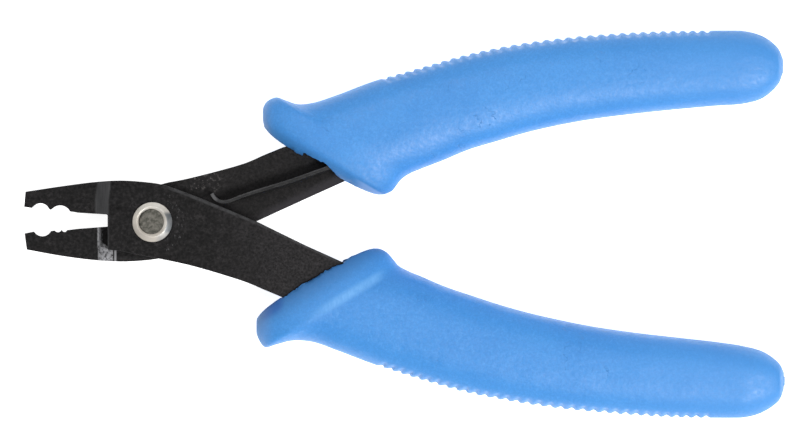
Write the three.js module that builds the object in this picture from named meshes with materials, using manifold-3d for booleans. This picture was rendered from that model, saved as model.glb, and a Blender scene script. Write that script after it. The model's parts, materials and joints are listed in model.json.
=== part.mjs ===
// Wire stripper hand plier: two stamped steel arms that lap at a riveted pivot, a leaf spring that
// opens them, and a moulded grip on each tang. Millimetres, +Z up. The plier lies flat on its grips:
// +X runs from the jaws to the handle ends, and the pivot pin stands along Z.
//
// Outlines are written in the pivot's frame (pin axis at x = y = 0, arms meeting at z = 0). The
// finished group is then moved so that its origin is the middle of the underside.

import * as THREE from 'three';
import { mergeVertices } from 'three/addons/utils/BufferGeometryUtils.js';
import Module from 'manifold-3d';

// Steel arms
const PLATE = 3.0;                    // thickness of the stamped plate
const FACE_GAP = 0.05;                // from the joint plane to each arm's inner face
const ARM_FACE = FACE_GAP + PLATE;    // from the joint plane to each arm's outer face
const JAW_HALF = PLATE / 2;           // both jaws are bent over to lie in one plane
const SHOULDER_X = -7.5;              // left edge of each hinge plate, at the throat of the mouth
const OUTER_BEND = [-9.7, -7.5];      // x range of the bend's ramp on an arm's outer face
const INNER_BEND = [-9.2, -8.6];      // and on its inner face
const STOP_BEND = [-9.2, -6.9];       // the wider ramp that the front arm's corner stops against
const STOP_TOP_Y = -4.1;
const SWEEP_R = 9.0;                  // the front arm's corner turns inside this radius

// Rivet
const PIN_R = 2.3;
const PIN_HALF = 3.45;
const PIN_CHAMFER = 0.2;
const HOLE_R = 2.4;
const RING_R = 3.45;
const RING_SEAT = ARM_FACE + 0.1;
const RING_TOP = 3.75;

// Leaf spring and its anchor
const LEAF_HALF = 0.3;
const LEAF_Z = [0.1, 2.95];
const ANCHOR = [36.0, 12.95];
const ANCHOR_R = 1.0;
const EYE_INNER_R = 1.15;
const EYE_OUTER_R = 1.75;

// Moulded grips
const GRIP_HALF = 5.25;               // half thickness at the crown
const REST_Z = -5.0;                  // flat land that the plier lies on
const LIP_BOW = 1.0;                  // how far the mouth's lip bulges out of a straight line
const BOW_POWER = 8;                  // how square the shoulders of that bulge are
const CROWN_POWER = 2.6;              // superellipse power of the grip's cross-section
const SOCKET_GAP = 0.3;

// Facets
const ROUND_SIDES = 40;
const GRIP_SIDES = 24;
const GRIP_ROWS_PER_STATION = 2;

const wasm = await Module();
wasm.setup();

// ---------------------------------------------------------------- outlines

const point = (x, y) => new THREE.Vector2(x, y);

// Joins stretches of points into one outline, dropping a point that repeats the one before it.
function outline(...stretches) {
  const points = stretches.flat().map((p) => (Array.isArray(p) ? point(...p) : p));
  return points.filter((p, i) => p.distanceTo(points.at(i - 1)) > 1e-3);
}

function smooth(points, steps) {
  return new THREE.SplineCurve(points.map((p) => point(...p))).getPoints(steps);
}

// A circular arc from a to b that bulges by rise to the left of the way from a to b.
function arc(a, b, rise, steps = 8) {
  const start = point(...a);
  const end = point(...b);
  const half = start.distanceTo(end) / 2;
  const radius = (half * half + rise * rise) / (2 * rise);
  const left = point(start.y - end.y, end.x - start.x).normalize();
  const centre = start.clone().add(end).divideScalar(2).addScaledVector(left, rise - radius);
  const from = start.clone().sub(centre).angle();
  const to = end.clone().sub(centre).angle();
  const curve = new THREE.EllipseCurve(
    centre.x, centre.y, Math.abs(radius), Math.abs(radius), from, to, rise > 0);
  return curve.getPoints(steps);
}

// A bar of varying half width along a centre line of [x, y, half]: its right-hand edge going out,
// a round end, and its left-hand edge coming back.
function bar(line, extra = 0, endSteps = 8) {
  const centres = line.map(([x, y]) => point(x, y));
  const left = [];
  const right = [];
  centres.forEach((centre, i) => {
    const along = centres[Math.min(i + 1, centres.length - 1)].clone()
      .sub(centres[Math.max(i - 1, 0)]).normalize();
    const across = point(-along.y, along.x).multiplyScalar(line[i][2] + extra);
    left.push(centre.clone().add(across));
    right.push(centre.clone().sub(across));
  });
  const tip = centres.at(-1);
  const spoke = right.at(-1).clone().sub(tip);
  const round = Array.from({ length: endSteps - 1 }, (_, i) => (
    tip.clone().add(spoke.clone().rotateAround(point(0, 0), Math.PI * (i + 1) / endSteps))));
  return [...right, ...round, ...left.reverse()];
}

const mirror = (points) => points.map((p) => point(p.x, -p.y));

// ---------------------------------------------------------------- solids

function toSolid(geometry) {
  geometry.deleteAttribute('normal');
  geometry.deleteAttribute('uv');
  const merged = mergeVertices(geometry, 1e-4);
  return new wasm.Manifold(new wasm.Mesh({
    numProp: 3,
    vertProperties: new Float32Array(merged.attributes.position.array),
    triVerts: new Uint32Array(merged.index.array),
  }));
}

function toMesh(name, solid, material) {
  const { vertProperties, triVerts } = solid.getMesh();
  const geometry = new THREE.BufferGeometry();
  geometry.setAttribute('position', new THREE.BufferAttribute(vertProperties, 3));
  geometry.setIndex(new THREE.BufferAttribute(triVerts, 1));
  geometry.computeVertexNormals();
  const mesh = new THREE.Mesh(geometry, material);
  mesh.name = name;
  return mesh;
}

// A plan outline raised from z = low to z = high.
function slab(points, low, high) {
  const geometry = new THREE.ExtrudeGeometry(
    new THREE.Shape(points), { depth: high - low, bevelEnabled: false });
  return toSolid(geometry.translate(0, 0, low));
}

// A side outline of [x, z] points run along Y from y = low to y = high.
function sideSlab(points, low, high) {
  const shape = new THREE.Shape(points.map((p) => point(...p)));
  const geometry = new THREE.ExtrudeGeometry(shape, { depth: high - low, bevelEnabled: false });
  return toSolid(geometry.rotateX(Math.PI / 2).translate(0, high, 0));
}

function disc([x, y], radius, low, high) {
  const geometry = new THREE.CylinderGeometry(radius, radius, high - low, ROUND_SIDES);
  return toSolid(geometry.rotateX(Math.PI / 2).translate(x, y, (low + high) / 2));
}

// A profile of [radius, z] points turned about the pin's axis.
function turned(profile) {
  const points = profile.map((p) => point(...p));
  return toSolid(new THREE.LatheGeometry(points, ROUND_SIDES).rotateX(Math.PI / 2));
}

// ---------------------------------------------------------------- arms

// Centre line and half width of the tang buried in the grip of the +Y handle.
const TANG = [
  [24.3, 8.4, 4.8], [33, 12.1, 4.6], [42, 15.9, 4.3], [52, 19.4, 3.9],
  [62, 22.3, 3.5], [72, 24.3, 3.1], [80, 25.3, 2.8],
];

// The front arm in plan: jaw at +Y, tang at -Y, round from the jaw's outer corner.
function frontArmOutline() {
  return outline(
    smooth([[-21.7, 5.2], [-15.4, 6.15], [-9.9, 6.85], [-5.4, 7.1], [-1.3, 6.85], [1.7, 6.4],
      [5.0, 5.3], [10.2, 3.3], [17.8, 0.1]], 24),
    mirror(bar(TANG)),
    smooth([[22.3, -12.9], [19.2, -11.6], [15.1, -9.95], [6.9, -7.5], [0.9, -6.2]], 12),
    [[-0.5, -5.95], [-5.5, -4.9], [SHOULDER_X, -4.7]],
    [[SHOULDER_X, 1.45], [-12.7, 1.7], [-14.1, 1.85]],
    arc([-14.1, 1.85], [-17.1, 2.35], -0.75),
    [[-17.4, 2.1], [-17.7, 2.3]],
    arc([-17.7, 2.3], [-20.4, 2.65], -0.75),
    [[-20.65, 2.43], [-21.95, 2.6]],
  );
}

// The rear arm in plan: jaw at -Y, tang at +Y, round from the jaw's outer corner.
function rearArmOutline() {
  return outline(
    smooth([[-21.5, -4.7], [-15.4, -5.8], [-9.9, -6.5], [-5.4, -6.75], [-1.3, -6.55], [1.7, -6.1],
      [5.0, -5.2], [10.2, -3.2], [17.8, 0.15]], 24),
    bar(TANG),
    smooth([[22.4, 12.85], [19.2, 11.55], [15.1, 9.85], [6.9, 7.65], [2.7, 6.8]], 12),
    [[-0.5, 5.95], [-5.5, 4.9], [SHOULDER_X, 4.7]],
    [[SHOULDER_X, -0.9], [-12.7, -1.2], [-14.6, -1.37]],
    arc([-14.6, -1.37], [-15.55, -1.33], 0.35, 4),
    arc([-15.55, -1.33], [-16.75, -1.45], 0.35, 4),
    [[-17.35, -1.54]],
    arc([-17.35, -1.54], [-20.3, -1.62], 0.85),
    [[-21.85, -1.93]],
  );
}

// An arm is its plan outline cut by its side view: the jaw is bent over towards the joint plane, so
// that both jaws lie in one plane. face is +1 for the front arm and -1 for the rear one.
function bentArm(points, face) {
  const side = [
    [-25, -JAW_HALF], [INNER_BEND[0], -JAW_HALF], [INNER_BEND[1], FACE_GAP], [90, FACE_GAP],
    [90, ARM_FACE], [OUTER_BEND[1], ARM_FACE], [OUTER_BEND[0], JAW_HALF], [-25, JAW_HALF],
  ].map(([x, z]) => [x, face * z]);
  const whole = slab(points, -ARM_FACE, ARM_FACE);
  return whole.intersect(sideSlab(side, -40, 40)).subtract(disc([0, 0], HOLE_R, -5, 5));
}

// The rear arm's ramp below the front arm's shoulder corner, which is the open stop.
function stopRamp() {
  const side = [[STOP_BEND[0], -1], [STOP_BEND[1], -1], [STOP_BEND[1], -FACE_GAP], [STOP_BEND[0], JAW_HALF]];
  return slab(rearArmOutline(), -1, JAW_HALF)
    .intersect(sideSlab(side, -40, STOP_TOP_Y))
    .subtract(disc([0, 0], SWEEP_R, -5, 5));
}

function frontArm() {
  return bentArm(frontArmOutline(), 1);
}

function rearArm() {
  return bentArm(rearArmOutline(), -1).add(stopRamp())
    .subtract(disc(ANCHOR, ANCHOR_R + 0.1, -5, 5));
}

// ---------------------------------------------------------------- rivet

function pivotPin() {
  const edge = PIN_HALF - PIN_CHAMFER;
  const face = PIN_R - PIN_CHAMFER;
  return turned([[0, -PIN_HALF], [face, -PIN_HALF], [PIN_R, -edge], [PIN_R, edge], [face, PIN_HALF],
    [0, PIN_HALF]]);
}

// side is +1 for the ring on the front arm's face and -1 for the one on the rear arm's face.
function rivetRing(side) {
  const profile = [
    [HOLE_R, RING_SEAT], [RING_R, RING_SEAT], [RING_R, RING_TOP - 0.25], [RING_R - 0.3, RING_TOP],
    [HOLE_R + 0.3, RING_TOP], [HOLE_R, RING_TOP - 0.3], [HOLE_R, RING_SEAT],
  ].map(([r, z]) => [r, side * z]);
  return turned(side > 0 ? profile : profile.reverse());
}

// ---------------------------------------------------------------- spring

// Centre line of the leaf, from its curled tip to the tangent point of its eye.
const LEAF = [[10.1, 4.5], [10.7, 3.7], [11.5, 3.2], [12.3, 3.1], [13.3, 3.4], [15.2, 4.3],
  [18.2, 5.4], [23.3, 6.95], [29.9, 9.3], [36.5, 11.55]];

function returnSpring() {
  const line = smooth(LEAF, 27).map((p) => [p.x, p.y, LEAF_HALF]);
  return slab(outline(bar(line, 0, 4)), ...LEAF_Z)
    .add(disc(ANCHOR, EYE_OUTER_R, ...LEAF_Z))
    .subtract(disc(ANCHOR, EYE_INNER_R, -1, 4));
}

function springPin() {
  return disc(ANCHOR, ANCHOR_R, -ARM_FACE, ARM_FACE);
}

// ---------------------------------------------------------------- grips

// Each station gives a chord across the grip in plan, from its +Y edge to its -Y edge, and the
// half thickness there. The first chord is the mouth's lip and the last is the end of the handle.
const REAR_GRIP = [
  [19.2, 16.2, 39.1, 4.7, 0.6], [18.85, 18.5, 40.0, 5.0, 4.8], [19.5, 20.35, 40.9, 5.5, 5.2],
  [21.2, 21.25, 41.6, 6.4, GRIP_HALF], [23.0, 20.7, 42.3, 7.3, GRIP_HALF],
  [24.9, 20.1, 43.7, 8.3, GRIP_HALF], [27.4, 20.3, 45.8, 9.2, GRIP_HALF],
  [31.5, 21.6, 49.2, 10.5, GRIP_HALF], [37.6, 23.9, 54.0, 12.5, GRIP_HALF],
  [45.8, 26.3, 58.6, 13.9, GRIP_HALF], [54.0, 28.6, 63.7, 15.4, GRIP_HALF],
  [62.3, 30.3, 68.8, 16.6, GRIP_HALF], [70.5, 31.4, 74.8, 17.7, GRIP_HALF],
  [78.7, 32.1, 81.7, 18.6, GRIP_HALF], [86.9, 32.5, 89.2, 19.4, GRIP_HALF],
  [95.1, 32.7, 96.4, 20.1, GRIP_HALF], [100.5, 32.6, 101.2, 20.7, 5.2],
  [104.2, 31.6, 104.1, 21.6, 4.7], [106.7, 29.7, 106.6, 23.7, 3.6], [107.8, 27.3, 107.8, 25.8, 1.2],
];
const FRONT_GRIP = [
  [38.3, -4.5, 17.95, -16.4, 3.5], [39.2, -4.8, 17.75, -17.9, 4.2], [40.0, -5.3, 18.2, -19.85, 4.7],
  [40.9, -6.3, 19.3, -21.3, 5.0], [41.9, -7.5, 21.3, -20.85, GRIP_HALF],
  [43.3, -8.3, 24.0, -20.2, GRIP_HALF], [45.8, -9.35, 27.4, -20.4, GRIP_HALF],
  [49.9, -11.1, 31.5, -21.8, GRIP_HALF], [54.0, -12.5, 37.6, -24.1, GRIP_HALF],
  [58.5, -14.0, 45.8, -26.8, GRIP_HALF], [63.5, -15.45, 54.0, -29.1, GRIP_HALF],
  [69.0, -16.75, 62.3, -30.7, GRIP_HALF], [75.0, -17.95, 70.5, -31.85, GRIP_HALF],
  [81.7, -18.95, 78.7, -32.6, GRIP_HALF], [88.9, -19.8, 86.9, -33.15, GRIP_HALF],
  [96.4, -20.7, 95.1, -33.4, GRIP_HALF], [101.25, -21.45, 100.3, -33.35, 5.2],
  [104.3, -22.3, 103.9, -32.5, 4.7], [106.9, -24.2, 106.7, -30.3, 3.6],
  [108.1, -26.3, 108.1, -27.7, 1.2],
];

// A closed cylinder whose rows are laid on the stations' chords, with a superellipse section.
function gripBody(stations) {
  const upper = new THREE.CatmullRomCurve3(stations.map(([x, y]) => new THREE.Vector3(x, y, 0)));
  const lower = new THREE.CatmullRomCurve3(
    stations.map(([, , x, y, half]) => new THREE.Vector3(x, y, half)));
  const rows = (stations.length - 1) * GRIP_ROWS_PER_STATION;
  const geometry = new THREE.CylinderGeometry(1, 1, 1, GRIP_SIDES, rows);
  const { position } = geometry.attributes;
  const spread = (value) => Math.sign(value) * Math.abs(value) ** (2 / CROWN_POWER);
  for (let i = 0; i < position.count; i += 1) {
    const t = THREE.MathUtils.clamp(0.5 - position.getY(i), 0, 1);
    const across = spread(position.getX(i));
    const up = spread(position.getZ(i));
    const a = upper.getPoint(t);
    const b = lower.getPoint(t);
    const chord = point(a.x - b.x, a.y - b.y).multiplyScalar(0.5);
    const bow = LIP_BOW * (1 - across ** BOW_POWER) * Math.max(0, 1 - t * rows / 4);
    const forward = point(-chord.y, chord.x).normalize().multiplyScalar(bow);
    position.setXYZ(
      i,
      (a.x + b.x) / 2 + chord.x * across + forward.x,
      (a.y + b.y) / 2 + chord.y * across + forward.y,
      b.z * up,
    );
  }
  return toSolid(geometry);
}

// The tang's socket runs out through the mouth, so it starts ahead of the buried tang.
function socket(side, low, high) {
  const [x, y, half] = TANG[0];
  const lead = [x - 12, y - 5.1, half + 0.3];
  const points = outline(bar([lead, ...TANG], SOCKET_GAP));
  return slab(side > 0 ? points : mirror(points), low - SOCKET_GAP, high + SOCKET_GAP);
}

// Room for the leaf spring's eye, and for the leaf to lean as the plier closes.
function springPocket() {
  const [x, y] = ANCHOR;
  const wedge = [[x - 10, y - 5.6], [x + 0.8, y - 2.1], [x, y + 0.3], [x - 10, y - 3.5]];
  return slab(outline(wedge), -0.5, ARM_FACE + SOCKET_GAP)
    .add(disc(ANCHOR, EYE_OUTER_R + 0.5, -0.5, ARM_FACE + SOCKET_GAP));
}

function restLand() {
  return slab([point(0, -50), point(120, -50), point(120, 50), point(0, 50)], -10, REST_Z);
}

function frontGrip() {
  return gripBody(FRONT_GRIP).subtract(socket(-1, FACE_GAP, ARM_FACE)).subtract(restLand());
}

function rearGrip() {
  return gripBody(REAR_GRIP).subtract(socket(1, -ARM_FACE, -FACE_GAP))
    .subtract(springPocket()).subtract(restLand());
}

// ---------------------------------------------------------------- assembly

function material(color, roughness, metalness) {
  return new THREE.MeshStandardMaterial({ color, roughness, metalness });
}

const blackSteel = material(0x29292b, 0.6, 0.6);
const springSteel = material(0x38383a, 0.45, 0.8);
const brightSteel = material(0xd9d5ca, 0.3, 1.0);
const pinSteel = material(0x7d7d76, 0.45, 1.0);
const blueGrip = material(0x549be8, 0.5, 0.0);

const plier = new THREE.Group();
plier.add(
  toMesh('front_arm', frontArm(), blackSteel),
  toMesh('rear_arm', rearArm(), blackSteel),
  toMesh('pivot_pin', pivotPin(), pinSteel),
  toMesh('front_ring', rivetRing(1), brightSteel),
  toMesh('rear_ring', rivetRing(-1), brightSteel),
  toMesh('return_spring', returnSpring(), springSteel),
  toMesh('spring_pin', springPin(), brightSteel),
  toMesh('front_grip', frontGrip(), blueGrip),
  toMesh('rear_grip', rearGrip(), blueGrip),
);

const extent = new THREE.Box3().setFromObject(plier);
const middle = extent.getCenter(new THREE.Vector3());
plier.position.set(-middle.x, -middle.y, -extent.min.z);

export default plier;
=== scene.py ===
"""Looks of the wire stripper: steel arms, rivet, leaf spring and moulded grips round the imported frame.

Shapes are written in millimetres in the pivot's frame (pin axis at x = y = 0, joint plane at z = 0)
and put in place from the hinge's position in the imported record.
"""

import json
import math

import bmesh
import bpy
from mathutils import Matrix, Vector, noise


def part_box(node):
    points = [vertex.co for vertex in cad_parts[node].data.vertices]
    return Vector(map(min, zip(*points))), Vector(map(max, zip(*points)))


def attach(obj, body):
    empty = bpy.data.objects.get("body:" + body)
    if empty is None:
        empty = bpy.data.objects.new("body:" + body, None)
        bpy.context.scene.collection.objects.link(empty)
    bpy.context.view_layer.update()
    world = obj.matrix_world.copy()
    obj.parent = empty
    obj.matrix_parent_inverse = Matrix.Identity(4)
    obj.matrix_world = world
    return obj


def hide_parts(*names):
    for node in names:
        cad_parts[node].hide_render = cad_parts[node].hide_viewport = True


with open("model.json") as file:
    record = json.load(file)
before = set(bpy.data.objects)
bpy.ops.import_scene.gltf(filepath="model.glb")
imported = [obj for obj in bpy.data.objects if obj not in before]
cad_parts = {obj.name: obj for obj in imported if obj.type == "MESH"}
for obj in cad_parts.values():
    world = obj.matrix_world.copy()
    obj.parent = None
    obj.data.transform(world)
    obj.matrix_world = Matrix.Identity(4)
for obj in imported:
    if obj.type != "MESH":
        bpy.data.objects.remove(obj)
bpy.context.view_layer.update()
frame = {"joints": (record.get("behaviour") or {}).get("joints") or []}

MM = 0.001
JOINTS = {joint["name"]: joint for joint in frame["joints"]}
PIVOT = Vector(JOINTS["jaw_pivot"]["pos_m"])
ANCHOR = (Vector(JOINTS["leaf_flex"]["pos_m"]) - PIVOT) / MM

# Steel arms
FACE_GAP = 0.05
ARM_FACE = 3.05
JAW_HALF = 1.5
SHOULDER_X = -7.65
OUTER_BEND = (-9.7, -7.5)
INNER_BEND = (-9.2, -8.6)
STOP_BEND = (-9.2, -6.9)
STOP_TOP_Y = -4.1
SWEEP_R = 9.05
HOLE_R = 2.4
EDGE_ROUND = 0.13
BEND_SOFTNESS = 0.12
SWEEP_GAP = 0.05          # between the front arm's sweep and the stop ramp

# Grips
GRIP_HALF = 5.25
REST_Z = -5.0
LIP_BOW = 1.0
BOW_POWER = 6
CROWN_POWER = 2.6
SOCKET_GAP = 0.3
PLAN_GROWTH = 0.155
GATE_SHARE = 0.55
POCKET_FLOOR = -0.5
EYE_ROOM_R = 2.25
TOOTH_DEPTH = 0.40
TEETH = 33
AROUND = 160
MOUTH_ROUND = 1.6
TOOTH_BITE = (0.84, 0.97)  # shares of the half chord between which a tooth comes to its full depth
TOOTHED_STEP = 0.17
PLAIN_STEP = 0.30
RAGGED = 0.28             # how far the trimmed lip strays
WAVE = 0.05               # how far the moulded top strays


# ------------------------------------------------------------------------------ plan curves

def clamp(value, low=0.0, high=1.0):
    return max(low, min(high, value))


def smoothstep(value, low, high):
    t = clamp((value - low) / (high - low))
    return t * t * (3 - 2 * t)


def mirror(points):
    return [(x, -y) for x, y in points]


def catmull_rom(a, b, c, d, t):
    """Value at t on the way from b to c, where a comes before them and d after."""
    square = 2 * a - 5 * b + 4 * c - d
    cube = 3 * b - a - 3 * c + d
    return 0.5 * (2 * b + (c - a) * t + square * t * t + cube * t ** 3)


def smooth(points, steps):
    """Catmull-Rom curve through points, as steps + 1 points."""
    made = []
    last = len(points) - 1
    for k in range(steps + 1):
        place = last * k / steps
        i = min(int(place), last - 1)
        t = place - i
        p0, p1, p2, p3 = (points[clamp(j, 0, last)] for j in (i - 1, i, i + 1, i + 2))
        made.append(tuple(catmull_rom(*values, t) for values in zip(p0, p1, p2, p3)))
    return made


def arc(a, b, rise, steps=10):
    """Circular arc from a to b that bulges by rise to the left of the way from a to b."""
    a, b = Vector(a), Vector(b)
    half = (b - a).length / 2
    radius = (half * half + rise * rise) / (2 * rise)
    along = (b - a).normalized()
    left = Vector((-along.y, along.x))
    centre = (a + b) / 2 + left * (rise - radius)
    turn = 2 * math.atan2(half, radius - rise) if radius > 0 else -2 * math.atan2(half, rise - radius)
    spoke = a - centre
    made = []
    for k in range(steps + 1):
        angle = -turn * k / steps
        made.append((centre.x + spoke.x * math.cos(angle) - spoke.y * math.sin(angle),
                     centre.y + spoke.x * math.sin(angle) + spoke.y * math.cos(angle)))
    return made


def bar(line, extra=0.0, end_steps=10):
    """Outline of a bar along a centre line of (x, y, half width), with a round far end."""
    left, right = [], []
    last = len(line) - 1
    for i, (x, y, half) in enumerate(line):
        before, after = line[max(i - 1, 0)], line[min(i + 1, last)]
        along = Vector((after[0] - before[0], after[1] - before[1])).normalized()
        across = Vector((-along.y, along.x)) * (half + extra)
        left.append((x + across.x, y + across.y))
        right.append((x - across.x, y - across.y))
    x, y, _ = line[last]
    spoke = Vector((right[last][0] - x, right[last][1] - y))
    cap = []
    for k in range(1, end_steps):
        angle = math.pi * k / end_steps
        cap.append((x + spoke.x * math.cos(angle) - spoke.y * math.sin(angle),
                    y + spoke.x * math.sin(angle) + spoke.y * math.cos(angle)))
    return right + cap + left[::-1]


def circle(x, y, radius, steps=72):
    return [(x + radius * math.cos(2 * math.pi * k / steps), y + radius * math.sin(2 * math.pi * k / steps))
            for k in range(steps)]


def outline(*stretches):
    """Joins stretches of points, dropping a point that repeats the one before it."""
    points = [p for stretch in stretches for p in stretch]
    return [p for i, p in enumerate(points) if math.dist(p, points[i - 1]) > 1e-3]


TANG = [(24.3, 8.4, 4.8), (33, 12.1, 4.6), (42, 15.9, 4.3), (52, 19.4, 3.9),
        (62, 22.3, 3.5), (72, 24.3, 3.1), (80, 25.3, 2.8)]


def front_arm_outline():
    return outline(
        smooth([(-21.7, 5.2), (-15.4, 6.15), (-9.9, 6.85), (-5.4, 7.1), (-1.3, 6.85), (1.7, 6.4),
                (5.0, 5.3), (10.2, 3.3), (17.8, 0.1)], 48),
        mirror(bar(TANG)),
        smooth([(22.3, -12.9), (19.2, -11.6), (15.1, -9.95), (6.9, -7.5), (0.9, -6.2)], 24),
        [(-0.5, -5.95), (-5.5, -4.9), (SHOULDER_X + 0.1, -4.73), (SHOULDER_X, -4.6)],
        [(SHOULDER_X, 1.1), (SHOULDER_X - 0.06, 1.24), (SHOULDER_X - 0.2, 1.3), (-12.7, 1.6), (-14.1, 1.83)],
        arc((-14.1, 1.83), (-17.1, 2.35), -0.75),
        [(-17.4, 2.1), (-17.7, 2.3)],
        arc((-17.7, 2.3), (-20.4, 2.65), -0.75),
        [(-20.65, 2.43), (-21.95, 2.6)],
    )


def rear_arm_outline():
    return outline(
        smooth([(-21.5, -4.7), (-15.4, -5.8), (-9.9, -6.5), (-5.4, -6.75), (-1.3, -6.55), (1.7, -6.1),
                (5.0, -5.2), (10.2, -3.2), (17.8, 0.15)], 48),
        bar(TANG),
        smooth([(22.4, 12.85), (19.2, 11.55), (15.1, 9.85), (6.9, 7.65), (2.7, 6.8)], 24),
        [(-0.5, 5.95), (-5.5, 4.9), (SHOULDER_X, 4.7)],
        [(SHOULDER_X, -0.76), (-12.7, -1.14), (-14.6, -1.37)],
        arc((-14.6, -1.37), (-15.55, -1.33), 0.35, 6),
        arc((-15.55, -1.33), (-16.75, -1.45), 0.35, 6),
        [(-17.35, -1.54)],
        arc((-17.35, -1.54), (-20.3, -1.62), 0.85),
        [(-21.85, -1.93)],
    )


# ------------------------------------------------------------------------------ mesh helpers

def finish_mesh(name, bm, body, node, material, sharp, weighted=False):
    """Turns a bmesh in millimetres into a placed piece that rides on body and stands for node."""
    low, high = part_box(node)
    for vert in bm.verts:
        place = PIVOT + vert.co * MM
        vert.co = Vector(clamp(c, a, b) for c, a, b in zip(place, low, high))
    bmesh.ops.recalc_face_normals(bm, faces=bm.faces)
    mesh = bpy.data.meshes.new(name)
    bm.to_mesh(mesh)
    bm.free()
    mesh.polygons.foreach_set("use_smooth", [True] * len(mesh.polygons))
    mesh.set_sharp_from_angle(angle=math.radians(sharp))
    piece = bpy.data.objects.new(name, mesh)
    bpy.context.scene.collection.objects.link(piece)
    mesh.materials.append(material)
    if weighted:
        modifier = piece.modifiers.new("flat_faces", "WEIGHTED_NORMAL")
        modifier.weight = 90
        modifier.keep_sharp = True
    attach(piece, body)
    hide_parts(node)


def slab(loops, low, high, rounding):
    """A plate in plan with rounded edges, as a bmesh. The first loop is the outline, the rest are holes."""
    curve = bpy.data.curves.new("slab", "CURVE")
    curve.dimensions = "2D"
    curve.fill_mode = "BOTH"
    curve.extrude = (high - low) / 2 - rounding
    curve.bevel_depth = rounding
    curve.bevel_resolution = 2
    curve.offset = -rounding
    for loop in loops:
        spline = curve.splines.new("POLY")
        spline.points.add(len(loop) - 1)
        spline.use_cyclic_u = True
        for target, (x, y) in zip(spline.points, loop):
            target.co = (x, y, 0, 1)
    holder = bpy.data.objects.new("slab", curve)
    bpy.context.scene.collection.objects.link(holder)
    bpy.context.view_layer.update()
    depsgraph = bpy.context.evaluated_depsgraph_get()
    mesh = bpy.data.meshes.new_from_object(holder.evaluated_get(depsgraph))
    bm = bmesh.new()
    bm.from_mesh(mesh)
    bpy.data.objects.remove(holder)
    bpy.data.curves.remove(curve)
    bpy.data.meshes.remove(mesh)
    bmesh.ops.remove_doubles(bm, verts=bm.verts, dist=1e-4)
    bmesh.ops.translate(bm, verts=bm.verts, vec=(0, 0, (low + high) / 2))
    return bm


def score(bm, axis, places):
    """Cuts new edges across the whole mesh where the given axis has each of the given values."""
    normal = Vector((0, 0, 0))
    normal[axis] = 1
    for place in places:
        geometry = bm.verts[:] + bm.edges[:] + bm.faces[:]
        bmesh.ops.bisect_plane(bm, geom=geometry, dist=1e-5, plane_co=normal * place, plane_no=normal)


def turned(profile, sides=96):
    """A closed ring or button: (radius, z) points turned about the pin's axis."""
    bm = bmesh.new()
    rings = []
    for radius, z in profile:
        if radius < 1e-6:
            rings.append([bm.verts.new((0, 0, z))])
        else:
            rings.append([bm.verts.new((x, y, z)) for x, y in circle(0, 0, radius, sides)])
    closed = profile[0][0] > 1e-6
    pairs = list(zip(rings, rings[1:])) + ([(rings[-1], rings[0])] if closed else [])
    for a, b in pairs:
        for k in range(sides):
            n = (k + 1) % sides
            corners = [a[k % len(a)], a[n % len(a)], b[n % len(b)], b[k % len(b)]]
            unique = list(dict.fromkeys(corners))
            if len(unique) > 2:
                bm.faces.new(unique)
    return bm


# ------------------------------------------------------------------------------ shader helpers

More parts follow.
